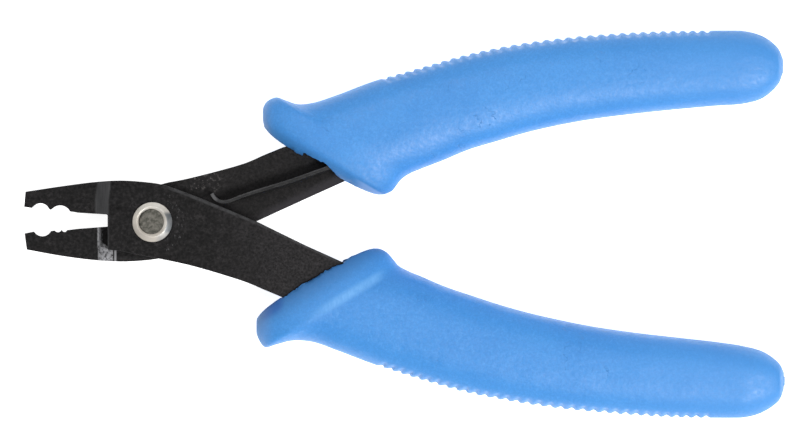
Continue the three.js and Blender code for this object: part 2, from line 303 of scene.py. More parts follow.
class Shader:
    """A node tree with short calls for the few nodes that the materials are made of."""

    def __init__(self, name):
        self.material = bpy.data.materials.new(name)
        self.material.use_nodes = True
        self.tree = self.material.node_tree
        self.tree.nodes.clear()
        self.bsdf = self.node("ShaderNodeBsdfPrincipled")
        output = self.node("ShaderNodeOutputMaterial")
        self.tree.links.new(self.bsdf.outputs["BSDF"], output.inputs["Surface"])
        coords = self.node("ShaderNodeTexCoord").outputs["Object"]
        shift = self.node("ShaderNodeVectorMath", operation="SUBTRACT")
        self.link(coords, shift.inputs[0])
        shift.inputs[1].default_value = PIVOT
        scale = self.node("ShaderNodeVectorMath", operation="SCALE")
        self.link(shift.outputs[0], scale.inputs[0])
        scale.inputs["Scale"].default_value = 1 / MM
        self.place = scale.outputs[0]
        split = self.node("ShaderNodeSeparateXYZ")
        self.link(self.place, split.inputs[0])
        self.x, self.y, self.z = split.outputs

    def node(self, kind, **settings):
        made = self.tree.nodes.new(kind)
        for key, value in settings.items():
            setattr(made, key, value)
        return made

    def link(self, value, socket):
        if isinstance(value, bpy.types.NodeSocket):
            self.tree.links.new(value, socket)
        else:
            socket.default_value = value

    def math(self, operation, *values):
        made = self.node("ShaderNodeMath", operation=operation)
        for value, socket in zip(values, made.inputs):
            self.link(value, socket)
        return made.outputs[0]

    def ramp(self, value, low, high, start=0.0, end=1.0):
        """start below low, end above high, and a smooth step between them."""
        made = self.node("ShaderNodeMapRange", interpolation_type="SMOOTHSTEP")
        self.link(value, made.inputs["Value"])
        for key, number in (("From Min", low), ("From Max", high), ("To Min", start), ("To Max", end)):
            made.inputs[key].default_value = number
        return made.outputs["Result"]

    def band(self, value, low, high, soft):
        """1 between low and high, with soft edges of that width."""
        return self.math("MULTIPLY", self.ramp(value, low - soft, low + soft),
                         self.ramp(value, high - soft, high + soft, 1.0, 0.0))

    def noise(self, scale, detail=3.0, stretch=(1, 1, 1), roughness=0.55, shift=(0, 0, 0)):
        mapping = self.node("ShaderNodeMapping")
        self.link(self.place, mapping.inputs["Vector"])
        mapping.inputs["Scale"].default_value = stretch
        mapping.inputs["Location"].default_value = shift
        made = self.node("ShaderNodeTexNoise")
        self.link(mapping.outputs[0], made.inputs["Vector"])
        made.inputs["Scale"].default_value = scale
        made.inputs["Detail"].default_value = detail
        made.inputs["Roughness"].default_value = roughness
        return made.outputs["Fac"]

    def mix(self, factor, a, b):
        made = self.node("ShaderNodeMix", data_type="RGBA")
        self.link(factor, made.inputs["Factor"])
        self.link(a, made.inputs["A"])
        self.link(b, made.inputs["B"])
        return made.outputs["Result"]

    def bump(self, height, distance, strength=1.0, normal=None):
        made = self.node("ShaderNodeBump")
        made.inputs["Strength"].default_value = strength
        made.inputs["Distance"].default_value = distance * MM
        self.link(height, made.inputs["Height"])
        if normal is not None:
            self.link(normal, made.inputs["Normal"])
        return made.outputs[0]

    def surface(self, **sockets):
        for key, value in sockets.items():
            self.link(value, self.bsdf.inputs[key.replace("_", " ")])
        return self.material


def grey(value):
    return (value, value, value * 1.04, 1.0)


# ------------------------------------------------------------------------------ materials

# Tones of the steel
STEEL_DARK = grey(0.0015)
STEEL_PALE = (0.0318, 0.0292, 0.0302, 1)
BRUSHED = grey(0.064)
# painted highlight along the front arm's upper edge
RIM_HIGHLIGHT = grey(0.047)
SMUDGE = grey(0.13)
SCUFF = grey(0.09)
SHADED = grey(0.002)
BARE = grey(0.50)
FRONT_DUST = (0.050, 0.046, 0.049, 1)
REAR_DUST = (0.022, 0.020, 0.020, 1)
BRINK_DUST = (0.046, 0.043, 0.049, 1)
BROWNISH = (0.100, 0.092, 0.090, 1)
BLUED = (grey(0.012), grey(0.024))
# painted highlight along the spring's upper edge
LEAF_HIGHLIGHT = grey(0.046)
LEAF_TIP = grey(0.80)
TURNED = ((0.77, 0.73, 0.66, 1), (0.82, 0.79, 0.735, 1))
# painted shade on the ring's lower left side
RING_SHADE = (0.675, 0.625, 0.555, 1)
# painted dark reflection on the ring's side towards the grips, then painted shade in its lower right corner
RING_DARK_REFLECTION = (0.125, 0.140, 0.155, 1)
RING_CORNER_SHADE = (0.30, 0.32, 0.34, 1)
PEENED = ((0.062, 0.061, 0.050, 1), (0.180, 0.170, 0.146, 1))

# Tones of the plastic
REAR_BLUE = ((0.045, 0.284, 0.745, 1), (0.053, 0.312, 0.790, 1))
FRONT_BLUE = ((0.043, 0.274, 0.725, 1), (0.051, 0.300, 0.762, 1))
SPECKLE_BLUE = (0.02, 0.17, 0.50, 1)
BLOOM_BLUE = (0.095, 0.385, 0.86, 1)
SCRATCH_BLUE = (0.035, 0.17, 0.50, 1)
NICK_BLUE = (0.20, 0.45, 0.85, 1)
# painted sheen towards the grips' far ends
END_SHEEN_BLUE = (0.066, 0.300, 0.742, 1)
# painted shade behind the grips' lips
MOUTH_SHADE_BLUE = (0.020, 0.140, 0.38, 1)
# painted shade on the front grip's lip by the nose
LIP_SHADE_BLUE = (0.004, 0.085, 0.40, 1)
CREST_BLUE = (0.140, 0.425, 0.87, 1)
RIM_BLUE = (0.30, 0.48, 0.85, 1)
# painted reflection on the grips' noses
NOSE_REFLECTION_BLUE = (0.22, 0.33, 0.58, 1)

PAPER = ((0.82, 0.82, 0.82, 1), (0.86, 0.86, 0.86, 1))

# Places of the marks, in plan
BRUSHED_X = (-9.75, -7.5)
FRONT_EDGE = [(1.7, 6.4), (5.0, 5.3), (17.8, 0.1), (34.8, -7.87)]
SMUDGE_RADII = (3.8, 5.7)
BARE_WIDE_X = (-9.3, -6.8)
BARE_STRIP_X = (-9.40, -8.45)
RIDGE_X = (-6.55, -6.2)
REAR_BRINK = ((17.8, 0.15), (33.0, 7.7))
REAR_SHOULDER_X = (6.5, 11.5)
REAR_SHOULDER_Y = (5.0, 8.6)
LEAF_EDGE = ((15.2, 4.4), (29.9, 9.3))
REAR_LIP = ((39.1, 4.7), (19.2, 16.2))
FRONT_LIP = ((17.95, -16.4), (38.3, -4.5))
FRONT_CREST = ((25.2, -17.3), (40.6, -8.2))
LIP_SHADE_X = (19.0, 22.2)

# Painted shade behind a lip: where it is full, where it is gone, and how dark it is
REAR_MOUTH_SHADE = (-0.4, 4.2, 0.24)
FRONT_MOUTH_SHADE = (-1.0, 3.6, 0.78)


def line_depth(s, a, b):
    """Distance from the line through a and b in plan, positive on the right of the way from a to b."""
    along = (Vector(b) - Vector(a)).normalized()
    across = s.math("MULTIPLY_ADD", s.x, -along.y, a[0] * along.y - a[1] * along.x)
    return s.math("MULTIPLY", s.math("MULTIPLY_ADD", s.y, along.x, across), -1.0)


def steel_ground(s, shift):
    """Blackened steel's own blotches, clouds and smudges, as a colour, a roughness and a grain."""
    grain = s.noise(5.5, 4.0)
    blotch = s.noise(1.9, 3.0, roughness=0.65, shift=shift)
    cloud = s.noise(0.45, 3.0, shift=shift)
    smudge = s.noise(1.1, 6.0, roughness=0.75, stretch=(0.8, 1.2, 1), shift=shift)
    tone = s.math("MULTIPLY", s.ramp(blotch, 0.32, 0.68, 0.15, 1.0), s.ramp(cloud, 0.3, 0.7, 0.6, 1.0))
    tone = s.math("MULTIPLY", tone, s.ramp(smudge, 0.32, 0.68, 0.35, 1.25))
    tone = s.math("MULTIPLY", tone, s.ramp(grain, 0.30, 0.72, 0.6, 1.0))
    roughness = s.ramp(grain, 0.3, 0.75, 0.45, 0.62)
    return s.mix(tone, STEEL_DARK, STEEL_PALE), roughness, grain


def steel_surface(s, colour, roughness, grain):
    fine = s.noise(16.0, 3.0)
    height = s.math("ADD", s.math("MULTIPLY", fine, 0.5), s.math("MULTIPLY", grain, 0.5))
    return s.surface(
        Base_Color=colour,
        Roughness=roughness,
        Specular_IOR_Level=0.15,
        Normal=s.bump(height, 0.025, 0.7),
    )


def pin_distance(s):
    return s.math("SQRT", s.math("ADD", s.math("MULTIPLY", s.x, s.x), s.math("MULTIPLY", s.y, s.y)))


def brushed_bend(s, colour):
    """The bend behind the upper jaw is brushed paler, and leans forward at its top."""
    brushing = s.noise(7.0, 4.0, stretch=(1, 0.06, 0.2))
    lean = s.math("MULTIPLY_ADD", s.ramp(s.y, 3.5, 7.0), -0.35, s.x)
    bend = s.band(lean, *BRUSHED_X, 0.25)
    return s.mix(s.math("MULTIPLY", bend, s.ramp(brushing, 0.25, 0.75, 0.7, 1.0)), colour, BRUSHED)


def highlighted_rim(s, colour):
    """A painted highlight along the front arm's upper edge, uneven, from the rivet to the grip."""
    depth = line_depth(s, *FRONT_EDGE[:2])
    for a, b in zip(FRONT_EDGE[1:], FRONT_EDGE[2:]):
        depth = s.math("MINIMUM", depth, line_depth(s, a, b))
    # painted highlight along the upper edge, uneven along its length
    rim_highlight = s.math("MULTIPLY", s.ramp(depth, 0.28, 0.62, 1.0, 0.0), s.ramp(s.x, 1.5, 4.0))
    uneven = s.ramp(s.noise(0.7, 4.0, roughness=0.7, shift=(2, 2, 0)), 0.35, 0.62, 0.35, 1.1)
    return s.mix(s.math("MULTIPLY", rim_highlight, uneven), colour, RIM_HIGHLIGHT)


def rivet_smudges(s, colour):
    """Pale smudges on the front arm to the right of the rivet, and a few scuffs elsewhere."""
    fan = s.math("MULTIPLY", s.band(pin_distance(s), *SMUDGE_RADII, 0.4), s.ramp(s.x, 1.5, 3.0))
    specks = s.noise(1.7, 4.0, roughness=0.7, stretch=(1.5, 0.7, 1), shift=(1, 7, 0))
    colour = s.mix(s.math("MULTIPLY", fan, s.ramp(specks, 0.57, 0.74)), colour, SMUDGE)
    scuffs = s.ramp(s.noise(3.0, 5.0, roughness=0.75, stretch=(1.0, 2.0, 1), shift=(5, 2, 0)), 0.66, 0.74)
    return s.mix(s.math("MULTIPLY", scuffs, 0.5), colour, SCUFF)


def front_arm_steel():
    """Front arm: blackened steel that is dustier towards the grip, with a painted highlight along its upper
    edge and painted shade where it goes into the grip.
    """
    s = Shader("black_steel_front")
    colour, roughness, grain = steel_ground(s, (3, 1, 0))
    colour = brushed_bend(s, colour)
    colour = highlighted_rim(s, colour)
    colour = rivet_smudges(s, colour)
    dust = s.ramp(s.noise(2.6, 5.0, roughness=0.7), 0.35, 0.70)
    dusty = s.math("MULTIPLY", s.ramp(s.x, 8.0, 24.0), dust)
    colour = s.mix(s.math("MULTIPLY", dusty, 0.55), colour, FRONT_DUST)
    # painted shadow of the grip's lip on the arm, darkest just before the lip
    mouth = s.ramp(line_depth(s, *FRONT_LIP), -2.0, -0.2, 0.0, 0.85)
    colour = s.mix(mouth, colour, SHADED)
    return steel_surface(s, colour, roughness, grain)


def bare_stop(s, colour):
    """The bare stop ramp beside the mouth's throat: scraped wide below, a torn strip above, and a ridge."""
    ragged = s.noise(1.6, 4.0, roughness=0.7)
    level = s.math("MULTIPLY_ADD", ragged, 0.9, s.math("MULTIPLY_ADD", s.x, 0.7, s.y))
    wide = s.math("MULTIPLY", s.band(s.x, *BARE_WIDE_X, 0.12), s.ramp(level, -9.25, -8.95, 1.0, 0.0))
    steep = s.math("MULTIPLY", s.band(s.x, *BARE_STRIP_X, 0.12), s.ramp(s.y, -4.6, -4.0))
    torn = s.ramp(s.math("MULTIPLY_ADD", ragged, 1.1, s.x), -8.30, -7.90, 1.0, 0.0)
    mottle = s.noise(2.2, 6.0, roughness=0.75, stretch=(1.3, 0.9, 1), shift=(2, 0, 0))
    mottle = s.ramp(mottle, 0.36, 0.56)
    light = s.math("MULTIPLY", mottle, s.ramp(s.x, -9.3, -8.0, 0.55, 1.0))
    scraped = s.math("MULTIPLY", wide, s.math("MULTIPLY_ADD", light, 0.72, 0.02))
    strip = s.math("MULTIPLY", s.math("MULTIPLY", steep, torn), s.math("MULTIPLY_ADD", mottle, 0.34, 0.16))
    ridge = s.math("MULTIPLY", s.band(s.x, *RIDGE_X, 0.08), s.ramp(s.y, -4.9, -4.7, 1.0, 0.0))
    bare = s.math("MAXIMUM", s.math("MAXIMUM", scraped, strip), s.math("MULTIPLY", ridge, 0.6))
    return s.mix(s.math("MULTIPLY", bare, s.ramp(s.z, -0.3, -0.1)), colour, BARE)


def shoulder_smudges(s, colour):
    """Brownish smudges on the rear arm above the spring's free end."""
    shoulder = s.math("MULTIPLY", s.band(s.x, *REAR_SHOULDER_X, 1.2), s.band(s.y, *REAR_SHOULDER_Y, 0.8))
    specks = s.ramp(s.noise(1.5, 5.0, roughness=0.75, shift=(1, 7, 0)), 0.54, 0.65)
    return s.mix(s.math("MULTIPLY", specks, shoulder), colour, BROWNISH)


def rear_arm_steel():
    """Rear arm: blackened steel with the bare stop, a little dust, and a paler lower brink near the grip."""
    s = Shader("black_steel_rear")
    colour, roughness, grain = steel_ground(s, (9, 4, 0))
    colour = bare_stop(s, colour)
    dusty = s.math("MULTIPLY", s.ramp(s.x, 2.0, 12.0), s.ramp(s.noise(2.4, 5.0, roughness=0.7), 0.35, 0.70))
    colour = s.mix(s.math("MULTIPLY", dusty, 0.6), colour, REAR_DUST)
    brink = s.ramp(line_depth(s, *REAR_BRINK), -1.6, -0.2, 0.0, 0.6)
    colour = s.mix(s.math("MULTIPLY", brink, s.ramp(s.x, 15.0, 21.0)), colour, BRINK_DUST)
    colour = shoulder_smudges(s, colour)
    return steel_surface(s, colour, roughness, grain)


def spring_steel():
    """Blued spring strip: faint streaks along it, a painted highlight along its upper edge, and paler still
    at the curl's bare tip.
    """
    s = Shader("spring_steel")
    streaks = s.noise(1.6, 3.0, stretch=(0.4, 1, 1))
    blued = s.mix(s.ramp(streaks, 0.3, 0.7), *BLUED)
    edge = s.ramp(line_depth(s, *LEAF_EDGE), -0.14, 0.04, 1.0, 0.0)
    # painted highlight along the strip's upper edge, patchy
    leaf_highlight = s.math("MULTIPLY", edge, s.ramp(s.noise(0.9, 3.0), 0.35, 0.62, 0.35, 1.0))
    leaf_highlight = s.math("MULTIPLY", leaf_highlight, s.ramp(s.x, 11.2, 14.5, 0.5, 1.0))
    tip = s.math("MULTIPLY", edge, s.ramp(s.x, 10.5, 11.4, 0.10, 0.0))
    return s.surface(
        Base_Color=s.mix(tip, s.mix(leaf_highlight, blued, LEAF_HIGHLIGHT), LEAF_TIP),
        Metallic=0.2,
        Roughness=s.ramp(streaks, 0.3, 0.7, 0.34, 0.46),
        Specular_IOR_Level=0.35,
        Normal=s.bump(streaks, 0.01, 0.4),
    )


def bright_ring():
    """Turned steel with a warm tint, painted shade towards the lower left, a painted dark bluish reflection
    on the side towards the grips, and painted shade in its lower right corner.
    """
    s = Shader("bright_ring")
    haze = s.noise(0.6, 2.0)
    colour = s.mix(s.ramp(haze, 0.3, 0.7), *TURNED)
    # painted shade towards the lower left
    shaded_side = s.ramp(s.math("MULTIPLY_ADD", s.x, 0.6, s.y), -0.9, 1.0, 1.0, 0.0)
    colour = s.mix(shaded_side, colour, RING_SHADE)
    outside = s.ramp(pin_distance(s), 2.40, 2.56)
    side = s.math("MULTIPLY", s.ramp(s.x, 1.7, 2.3), s.band(s.y, -1.9, 1.65, 0.4))
    # painted dark bluish reflection on the side towards the grips
    dark_reflection = s.math("MULTIPLY", s.math("MULTIPLY", side, outside), s.ramp(haze, 0.2, 0.8, 0.8, 1.0))
    colour = s.mix(dark_reflection, colour, RING_DARK_REFLECTION)
    # painted shade in the lower right corner of the flange
    corner = s.math("MULTIPLY", s.ramp(s.x, 0.3, 1.4), s.ramp(s.y, -2.1, -1.2, 1.0, 0.0))
    corner = s.math("MULTIPLY", corner, outside)
    return s.surface(
        Base_Color=s.mix(s.math("MULTIPLY", corner, 0.55), colour, RING_CORNER_SHADE),
        Metallic=0.45,
        Roughness=s.ramp(haze, 0.3, 0.7, 0.36, 0.42),
    )


def dull_pin():
    """The peened end of the rivet: grey, pitted and lightly hammered."""
    s = Shader("dull_pin")
    pits = s.noise(1.5, 4.0, roughness=0.6)
    fine = s.noise(6.0, 3.0)
    return s.surface(
        Base_Color=s.mix(s.ramp(pits, 0.32, 0.68), *PEENED),
        Metallic=0.25,
        Roughness=s.ramp(fine, 0.3, 0.7, 0.36, 0.52),
        Specular_IOR_Level=0.35,
        Normal=s.bump(s.math("ADD", pits, s.math("MULTIPLY", fine, 0.2)), 0.05, 0.6),
    )


def mottled(s, colour, shift):
    """Fine dark speckle and paler bloom, as the colour and the bloom."""
    speckle = s.noise(3.2, 2.0, shift=shift)
    colour = s.mix(s.ramp(speckle, 0.35, 0.65, 0.25, 0.0), colour, SPECKLE_BLUE)
    bloom = s.noise(2.0, 4.0, roughness=0.7, shift=shift)
    return s.mix(s.ramp(bloom, 0.48, 0.72, 0.0, 0.42), colour, BLOOM_BLUE), bloom


def scratched(s, colour, shift):
    """Thin winding scratches in patches and a few pale nicks, as the colour and the scratches."""
    winding = s.noise(0.22, 3.0, roughness=0.6, shift=shift)
    strand = s.math("ABSOLUTE", s.math("SUBTRACT", winding, 0.5))
    patch = s.ramp(s.noise(0.12, 2.0, shift=(shift[1], shift[0], 3)), 0.60, 0.66)
    scratch = s.math("MULTIPLY", s.ramp(strand, 0.0, 0.004, 1.0, 0.0), patch)
    colour = s.mix(s.math("MULTIPLY", scratch, 0.45), colour, SCRATCH_BLUE)
    nicks = s.ramp(s.noise(0.8, 5.0, roughness=0.8, shift=shift), 0.74, 0.77)
    return s.mix(s.math("MULTIPLY", nicks, 0.5), colour, NICK_BLUE), scratch


def shaded_mouth(s, colour, behind, cloud, mouth_shade):
    """Painted shade behind the lip: full at the first distance, gone at the second, as dark as the third."""
    start, end, amount = mouth_shade
    painted_shade = s.math("MULTIPLY", s.ramp(behind, start, end, amount, 0.0), s.ramp(cloud, 0.2, 0.6, 0.75, 1.0))
    # painted shade in a narrow band right at the lip
    painted_shade = s.math("MAXIMUM", painted_shade, s.ramp(behind, 0.0, 1.5, 0.45, 0.0))
    return s.mix(painted_shade, colour, MOUTH_SHADE_BLUE)


def crest_marks(s, colour, behind, crest):
    """Painted shade on the lip by the nose, and a pale fibrous band along the crest."""
    # painted shade on the lip, just behind it, by the nose
    lip_shade = s.math("MULTIPLY", s.ramp(behind, 0.2, 1.5, 0.6, 0.0), s.band(s.x, *LIP_SHADE_X, 0.7))
    colour = s.mix(lip_shade, colour, LIP_SHADE_BLUE)
    fibres = s.noise(1.6, 4.0, stretch=(2.2, 0.5, 1), roughness=0.6)
    off_line = s.math("MULTIPLY_ADD", fibres, 0.5, s.math("ABSOLUTE", line_depth(s, *crest)))
    run = s.math("MULTIPLY", s.ramp(s.x, 25.5, 32.0), s.ramp(s.x, 37.8, 40.4, 1.0, 0.0))
    pale_band = s.math("MULTIPLY", run, s.ramp(off_line, 0.40, 1.50, 1.0, 0.0))
    patchy = s.math("MULTIPLY", s.ramp(fibres, 0.30, 0.65, 0.55, 1.0), s.ramp(s.z, 1.5, 2.5))
    return s.mix(s.math("MULTIPLY", pale_band, patchy), colour, CREST_BLUE)


def pale_rim(s, colour, behind):
    """A thin paler rim on the lip near its lower corner."""
    rim = s.math("MULTIPLY", s.ramp(behind, 0.0, 0.4, 0.6, 0.0), s.ramp(s.x, 34.0, 36.5))
    return s.mix(rim, colour, RIM_BLUE)


def plastic_roughness(s, peel, bloom, behind):
    """Orange peel with matt zones at the mouth and at the far end."""
    matt = s.math("ADD", s.ramp(behind, 1.5, 6.5, 0.16, 0.0), s.ramp(s.x, 80.0, 100.0, 0.0, 0.10))
    matt = s.math("ADD", matt, s.ramp(bloom, 0.35, 0.65, -0.04, 0.05))
    return s.math("ADD", s.ramp(peel, 0.3, 0.7, 0.38, 0.52), matt)


def blue_plastic(name, tones, shift, lip, mouth_shade, crest=None):
    """Soft moulded plastic between two tones of blue, with orange peel and wear, painted shade at the mouth,
    a painted reflection at the nose and a painted sheen towards the far end.

    The lip is two points in plan with the mouth on the left of the way from one to the other. The crest is
    two points that a pale band runs between, if the piece has one.
    """
    s = Shader(name)
    cloud = s.noise(0.09, 4.0, shift=shift)
    peel = s.noise(1.3, 3.0, shift=shift)
    swell = s.noise(0.30, 3.0, stretch=(0.5, 1, 1), shift=shift)
    behind = line_depth(s, *lip)
    colour = s.mix(s.ramp(cloud, 0.3, 0.7), *tones)
    colour, bloom = mottled(s, colour, shift)
    colour, scratch = scratched(s, colour, shift)
    # painted sheen, paler towards the far end
    colour = s.mix(s.ramp(s.x, 62.0, 110.0, 0.0, 0.5), colour, END_SHEEN_BLUE)
    colour = shaded_mouth(s, colour, behind, cloud, mouth_shade)
    colour = crest_marks(s, colour, behind, crest) if crest else pale_rim(s, colour, behind)
    # painted reflection: a greyish lilac sheen on the nose's far left
    nose = s.math("MULTIPLY", s.ramp(s.x, 18.6, 21.2, 0.32, 0.0), s.ramp(peel, 0.2, 0.8, 0.7, 1.0))
    height = s.math("SUBTRACT", peel, s.math("MULTIPLY", scratch, 1.5))
    return s.surface(
        Base_Color=s.mix(nose, colour, NOSE_REFLECTION_BLUE),
        Roughness=plastic_roughness(s, peel, bloom, behind),
        Specular_IOR_Level=0.74,
        Normal=s.bump(height, 0.07, 0.7, s.bump(swell, 0.24, 0.6)),
    )


# ------------------------------------------------------------------------------ arms

def bend_height(x, low_x, high_x, jaw, plate):
    """Height of a bent face: jaw left of low_x, plate right of high_x, a ramp with soft corners between."""
    t = clamp((x - low_x) / (high_x - low_x))
    return jaw + (plate - jaw) * (t - BEND_SOFTNESS * math.sin(2 * math.pi * t) / (2 * math.pi))


def arm_bmesh(points):
    """A flat arm with the pin's hole through it."""
    return slab([points, circle(0, 0, HOLE_R)], FACE_GAP, ARM_FACE, EDGE_ROUND)


# Where edges are added across the flat arms, so that they can bend
BEND_LINES = [-9.7, -9.4, -9.2, -9.05, -8.9, -8.75, -8.6, -8.3, -8.0, -7.75, -7.5]
STOP_LINES_X = [-7.2, -6.9]
STOP_LINES_Y = [3.95, 4.1, 4.25, 4.6, 5.0, 5.4, 5.8, 6.2]


def front_arm():
    bm = arm_bmesh(front_arm_outline())
    score(bm, 0, BEND_LINES)
    for vert in bm.verts:
        inner = bend_height(vert.co.x, *INNER_BEND, -JAW_HALF, FACE_GAP)
        outer = bend_height(vert.co.x, *OUTER_BEND, JAW_HALF, ARM_FACE)
        share = (vert.co.z - FACE_GAP) / (ARM_FACE - FACE_GAP)
        vert.co.z = inner + (outer - inner) * share
    finish_mesh("arm_front", bm, "front_half", "front_arm", front_arm_steel(),
                sharp=40, weighted=True)


def stop_ramp(x, y):
    """Height of the rear arm's inner face where its ramp meets the front arm's corner."""
    end = INNER_BEND[1]
    if y < STOP_TOP_Y:
        reach = -math.sqrt(max(SWEEP_R ** 2 - y * y, 0)) - SWEEP_GAP
        end = max(end, min(STOP_BEND[1], reach))
    return bend_height(x, STOP_BEND[0], end, JAW_HALF, -FACE_GAP)


def rear_arm():
    points = [(x, -y) for x, y in rear_arm_outline()]
    bm = arm_bmesh(points)
    score(bm, 0, BEND_LINES + STOP_LINES_X)
    score(bm, 1, STOP_LINES_Y)
    for vert in bm.verts:
        x, y = vert.co.x, -vert.co.y
        inner = -stop_ramp(x, y)
        outer = bend_height(x, *OUTER_BEND, JAW_HALF, ARM_FACE)
        share = (vert.co.z - FACE_GAP) / (ARM_FACE - FACE_GAP)
        vert.co = Vector((x, y, -(inner + (outer - inner) * share)))
    finish_mesh("arm_rear", bm, "rear_half", "rear_arm", rear_arm_steel(),
                sharp=40, weighted=True)


# ------------------------------------------------------------------------------ rivet

RING = [(2.42, 3.15), (3.38, 3.15), (3.40, 3.18), (3.40, 3.28), (3.38, 3.33), (3.33, 3.37), (2.72, 3.69),
        (2.64, 3.73), (2.57, 3.745), (2.51, 3.73), (2.19, 3.50), (2.165, 3.46)]
CREST_R = 2.8
CREST_OFF_CENTRE = Vector((-0.085, 0.04, 0))
LIP_R = 2.3
LIP_OFF_CENTRE = Vector((-0.19, 0.10, 0))
PIN_DENT = 0.10
PIN_END = [(2.3, 3.18), (2.24, 3.30), (2.1, 3.39), (1.9, 3.43), (1.5, 3.43), (1.0, 3.43), (0.5, 3.43),
           (0, 3.42)]


def ring_bmesh(side):
    """Flange of the rivet: a sloping face, and a crest and inner lip that sit a little off centre."""
    bm = turned([(r, side * z) for r, z in RING])
    for vert in bm.verts:
        radius = math.hypot(vert.co.x, vert.co.y)
        if radius < LIP_R:
            vert.co += LIP_OFF_CENTRE
        elif radius < CREST_R and abs(vert.co.z) > RING[0][1]:
            vert.co += CREST_OFF_CENTRE
    return bm


def rivet(dull):
    bright = bright_ring()
    for side, name, node in ((1, "ring_front", "front_ring"), (-1, "ring_rear", "rear_ring")):
        finish_mesh(name, ring_bmesh(side), "rear_half", node, bright, sharp=50)
    bm = turned([(r, -z) for r, z in PIN_END[::-1]] + PIN_END)
    for vert in bm.verts:
        if abs(vert.co.z) > 3.4:
            dent = noise.noise(Vector((vert.co.x * 1.3, vert.co.y * 1.3, vert.co.z))) * 0.5 + 0.5
            vert.co.z -= math.copysign(PIN_DENT * dent, vert.co.z)
    finish_mesh("pin_pivot", bm, "rear_half", "pivot_pin", dull, sharp=60)


# ------------------------------------------------------------------------------ spring

LEAF = [(10.15, 4.85), (10.6, 4.15), (11.4, 3.6), (12.3, 3.45), (13.4, 3.68), (15.2, 4.4),
        (18.2, 5.4), (23.3, 6.95), (29.9, 9.3), (36.5, 11.55)]
LEAF_HALF = 0.3
LEAF_Z = (0.1, 2.95)
LEAF_LEAN = Vector((0.13, -0.34, 0))
LEAN_START = (12.5, 16.5)
LEAN_END = (31.5, 34.0)
EYE_R = 1.45
ANCHOR_PIN = [(0, -3.0), (0.9, -3.0), (1.0, -2.9), (1.0, 2.9), (0.9, 3.0), (0, 3.0)]


def spring():
    """The leaf, curled at its free end and rolled into an eye at the other. Its span leans a little."""
    line = smooth(LEAF, 90)
    start = math.atan2(LEAF[-1][1] - ANCHOR.y, LEAF[-1][0] - ANCHOR.x)
    eye = [(ANCHOR.x + EYE_R * math.cos(start + a), ANCHOR.y + EYE_R * math.sin(start + a))
           for a in (math.radians(10 * k) for k in range(1, 30))]
    bm = slab([outline(bar([(x, y, LEAF_HALF) for x, y in line[:-1] + eye], end_steps=4))], *LEAF_Z, 0.08)
    for vert in bm.verts:
        depth = (LEAF_Z[1] - vert.co.z) / (LEAF_Z[1] - LEAF_Z[0])
        lean = LEAF_LEAN * depth * smoothstep(vert.co.x, *LEAN_START)
        vert.co += lean * smoothstep(-vert.co.x, -LEAN_END[1], -LEAN_END[0])
    finish_mesh("spring_leaf", bm, "leaf", "return_spring", spring_steel(),
                sharp=40, weighted=True)


def anchor_pin(dull):
    bm = turned(ANCHOR_PIN, 48)
    bmesh.ops.translate(bm, verts=bm.verts, vec=(ANCHOR.x, ANCHOR.y, 0))
    finish_mesh("pin_spring", bm, "rear_half", "spring_pin", dull, sharp=50)


# ------------------------------------------------------------------------------ grips

# Each station of a grip is a chord in plan: x and y of its upper end, then of its lower end.
REAR_GRIP = [
    (19.2, 16.2, 39.1, 4.7), (18.85, 18.5, 40.0, 5.0), (19.5, 20.35, 40.9, 5.5),
    (21.2, 21.25, 41.6, 6.4), (23.0, 20.7, 42.3, 7.3), (24.9, 20.1, 43.7, 8.3),
    (27.4, 20.3, 45.8, 9.2), (31.5, 21.6, 49.2, 10.5), (37.6, 23.9, 54.0, 12.5),
    (45.8, 26.3, 58.6, 13.9), (54.0, 28.6, 63.7, 15.4), (62.3, 30.3, 68.8, 16.6),
    (70.5, 31.4, 74.8, 17.7), (78.7, 32.1, 81.7, 18.6), (86.9, 32.5, 89.2, 19.4),
    (95.1, 32.6, 96.4, 20.05), (100.5, 32.6, 101.0, 20.4), (104.4, 31.6, 104.3, 21.35),
    (106.95, 29.6, 106.95, 23.7), (107.8, 27.7, 107.8, 25.7),
]
FRONT_GRIP = [
    (38.3, -4.5, 17.95, -16.4), (39.2, -4.8, 17.75, -17.9), (40.0, -5.3, 18.2, -19.85),
    (40.9, -6.3, 19.3, -21.3), (41.9, -7.5, 21.3, -20.85), (43.3, -8.3, 24.0, -20.2),
    (45.8, -9.35, 27.4, -20.4), (49.9, -11.1, 31.5, -21.8), (54.0, -12.5, 37.6, -24.1),
    (58.5, -14.0, 45.8, -26.8), (63.5, -15.45, 54.0, -29.1), (69.0, -16.75, 62.3, -30.7),
    (75.0, -17.95, 70.5, -31.85), (81.7, -18.95, 78.7, -32.6), (88.9, -19.8, 86.9, -33.15),
    (96.4, -20.65, 95.1, -33.35), (101.25, -21.4, 100.3, -33.35), (104.5, -22.35, 104.0, -32.5),
    (107.15, -24.3, 107.1, -30.35), (107.95, -25.9, 107.9, -28.5),
]
END_HALVES = [5.2, 4.7, 3.6, 1.2]
REAR_SLEEVE = {
    "stations": REAR_GRIP, "side": 1, "lip_half": 2.4, "mouth_depth": 2.4, "mouth_power": 2.5,
    "teeth_x": (38.9, 95.55), "gate": 0.1, "seed": 3.0,
}
FRONT_SLEEVE = {
    "stations": FRONT_GRIP, "side": -1, "lip_half": 3.55, "mouth_depth": 5.6, "mouth_power": 2.0,
    "teeth_x": (38.25, 95.45), "gate": 0.15, "seed": 8.0,
}


